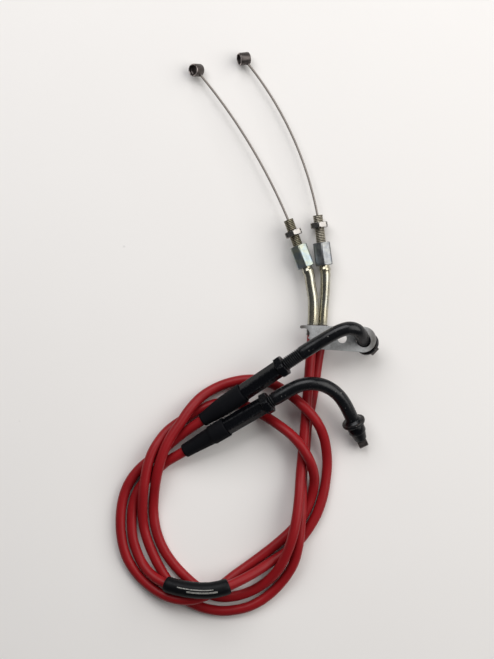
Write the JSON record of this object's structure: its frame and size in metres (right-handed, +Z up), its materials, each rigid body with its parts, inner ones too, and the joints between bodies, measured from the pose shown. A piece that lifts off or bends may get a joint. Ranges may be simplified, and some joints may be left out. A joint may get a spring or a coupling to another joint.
{
  "type": "motorcycle throttle cable pair",
  "caption": "Coiled pull and push throttle cables with red sheaths, black elbows and adjusters, zinc fittings, a guide plate and bare wire ends with nipples.",
  "frame": {"origin": "bottom centre of the box round the fittings (everything but the two sheaths), on the surface that the cables lie on", "axes": "+Y from the coil towards the engine ends' bare wires, +X towards the elbows, +Z up"},
  "size_m": [0.1573, 0.3369, 0.0326],
  "materials": {
    "black_oxide": "black finish, satin",
    "black_paint": "black paint, semi-gloss",
    "black_rubber": "matt black",
    "dark_steel": "dark steel",
    "dull_zinc": "dull zinc plate",
    "red_pvc": "soft red PVC",
    "steel_wire": "stranded wire",
    "white_liner": "natural nylon",
    "zinc_plate": "bright zinc plate, lightly worn"
  },
  "bodies": {
    "casing": {"pull_sheath": "red_pvc", "pull_crimp_sleeve": "dull_zinc", "pull_bent_pipe": "zinc_plate", "pull_pipe_liner": "white_liner", "pull_grip_ferrule": "dull_zinc", "push_sheath": "red_pvc", "push_crimp_sleeve": "dull_zinc", "push_bent_pipe": "zinc_plate", "push_pipe_liner": "white_liner", "push_grip_ferrule": "dull_zinc", "marker_sleeve": "black_rubber"},
    "pull_wire_end": {"pull_engine_wire": "steel_wire", "pull_engine_nipple": "dark_steel"},
    "pull_grip_end": {"pull_grip_wire": "steel_wire", "pull_grip_nipple": "zinc_plate"},
    "pull_adjuster": {"pull_adjuster_screw": "zinc_plate"},
    "pull_locknut_m6": {"pull_adjuster_nut": "zinc_plate"},
    "pull_barrel_adjuster": {"pull_barrel": "black_oxide"},
    "pull_locknut_m8": {"pull_barrel_nut": "black_oxide"},
    "pull_elbow_tube": {"pull_elbow": "black_paint", "pull_elbow_flange": "black_paint", "pull_elbow_cap": "black_oxide"},
    "pull_boot_cover": {"pull_boot": "black_rubber"},
    "push_wire_end": {"push_engine_wire": "steel_wire", "push_engine_nipple": "dark_steel"},
    "push_grip_end": {"push_grip_wire": "steel_wire", "push_grip_nipple": "zinc_plate"},
    "push_adjuster": {"push_adjuster_screw": "zinc_plate"},
    "push_locknut_m6": {"push_adjuster_nut": "zinc_plate"},
    "push_barrel_adjuster": {"push_barrel": "black_oxide"},
    "push_locknut_m8": {"push_barrel_nut": "black_oxide"},
    "push_elbow_tube": {"push_elbow": "black_paint", "push_elbow_flange": "black_paint", "push_elbow_cap": "black_oxide"},
    "push_boot_cover": {"push_boot": "black_rubber"},
    "plate": {"guide_plate": "dull_zinc"}
  },
  "joints": [
    {"name": "pull_wire_travel", "type": "hinge", "parent": "casing", "child": "pull_wire_end", "pos_m": [-0.17323, 0.02732, 0.0062], "axis": [0.0012, -0.0095, -1], "range_deg": [0, 4.47]},
    {"name": "pull_grip_travel", "type": "slide", "parent": "pull_elbow_tube", "child": "pull_grip_end", "axis": [0.4199, -0.3849, -0.8219], "range_m": [0, 0.016]},
    {"name": "pull_adjuster_turn", "type": "hinge", "parent": "casing", "child": "pull_adjuster", "pos_m": [0.0323, 0.035, 0.00638], "axis": [-0.1271, 0.9918, -0.0096], "continuous": true},
    {"name": "pull_locknut_m6_run", "type": "slide", "parent": "pull_adjuster", "child": "pull_locknut_m6", "axis": [-0.1271, 0.9918, -0.0096], "range_m": [-0.0086, 0.00365]},
    {"name": "pull_barrel_turn", "type": "hinge", "parent": "casing", "child": "pull_barrel_adjuster", "pos_m": [-0.02347, -0.04576, 0.01347], "axis": [0.8071, 0.5506, 0.213], "range_deg": [-720, 720]},
    {"name": "pull_elbow_slide", "type": "slide", "parent": "casing", "child": "pull_elbow_tube", "axis": [0.8071, 0.5506, 0.213], "range_m": [-0.0025, 0.0025]},
    {"name": "pull_locknut_m8_run", "type": "slide", "parent": "casing", "child": "pull_locknut_m8", "axis": [0.8071, 0.5506, 0.213], "range_m": [0, 0.007]},
    {"name": "pull_boot_peel", "type": "slide", "parent": "casing", "child": "pull_boot_cover", "axis": [-0.8071, -0.5506, -0.213], "range_m": [0, 0.004]},
    {"name": "push_wire_travel", "type": "hinge", "parent": "casing", "child": "push_wire_end", "pos_m": [-0.30767, -0.07082, 0.0089], "axis": [0.0111, -0.0294, -0.9995], "range_deg": [0, 2.66]},
    {"name": "push_grip_travel", "type": "slide", "parent": "push_elbow_tube", "child": "push_grip_end", "axis": [0.375, -0.8149, -0.442], "range_m": [0, 0.016]},
    {"name": "push_adjuster_turn", "type": "hinge", "parent": "casing", "child": "push_adjuster", "pos_m": [0.0215, 0.0338, 0.00948], "axis": [-0.3533, 0.935, -0.0314], "continuous": true},
    {"name": "push_locknut_m6_run", "type": "slide", "parent": "push_adjuster", "child": "push_locknut_m6", "axis": [-0.3533, 0.935, -0.0314], "range_m": [-0.006, 0.00625]},
    {"name": "push_barrel_turn", "type": "hinge", "parent": "casing", "child": "push_barrel_adjuster", "pos_m": [-0.03354, -0.06542, 0.01237], "axis": [0.8401, 0.4988, 0.213], "range_deg": [-720, 720]},
    {"name": "push_elbow_slide", "type": "slide", "parent": "casing", "child": "push_elbow_tube", "axis": [0.8401, 0.4988, 0.213], "range_m": [-0.0025, 0.0025]},
    {"name": "push_locknut_m8_run", "type": "slide", "parent": "casing", "child": "push_locknut_m8", "axis": [0.8401, 0.4988, 0.213], "range_m": [0, 0.0025]},
    {"name": "push_boot_peel", "type": "slide", "parent": "casing", "child": "push_boot_cover", "axis": [-0.8401, -0.4988, -0.213], "range_m": [0, 0.006]},
    {"name": "plate_swivel", "type": "hinge", "parent": "pull_elbow_tube", "child": "plate", "pos_m": [0.05476, -0.0092, 0.01848], "axis": [-0.146, 0, 0.9893], "range_deg": [-15, 15]}
  ],
  "couplings": [
    {"joint": "pull_grip_travel", "follows": "pull_wire_travel", "m_per_rad": 0.205},
    {"joint": "pull_barrel_turn", "follows": "pull_elbow_slide", "rad_per_m": -5026.5},
    {"joint": "push_grip_travel", "follows": "push_wire_travel", "m_per_rad": 0.345},
    {"joint": "push_barrel_turn", "follows": "push_elbow_slide", "rad_per_m": -5026.5}
  ]
}
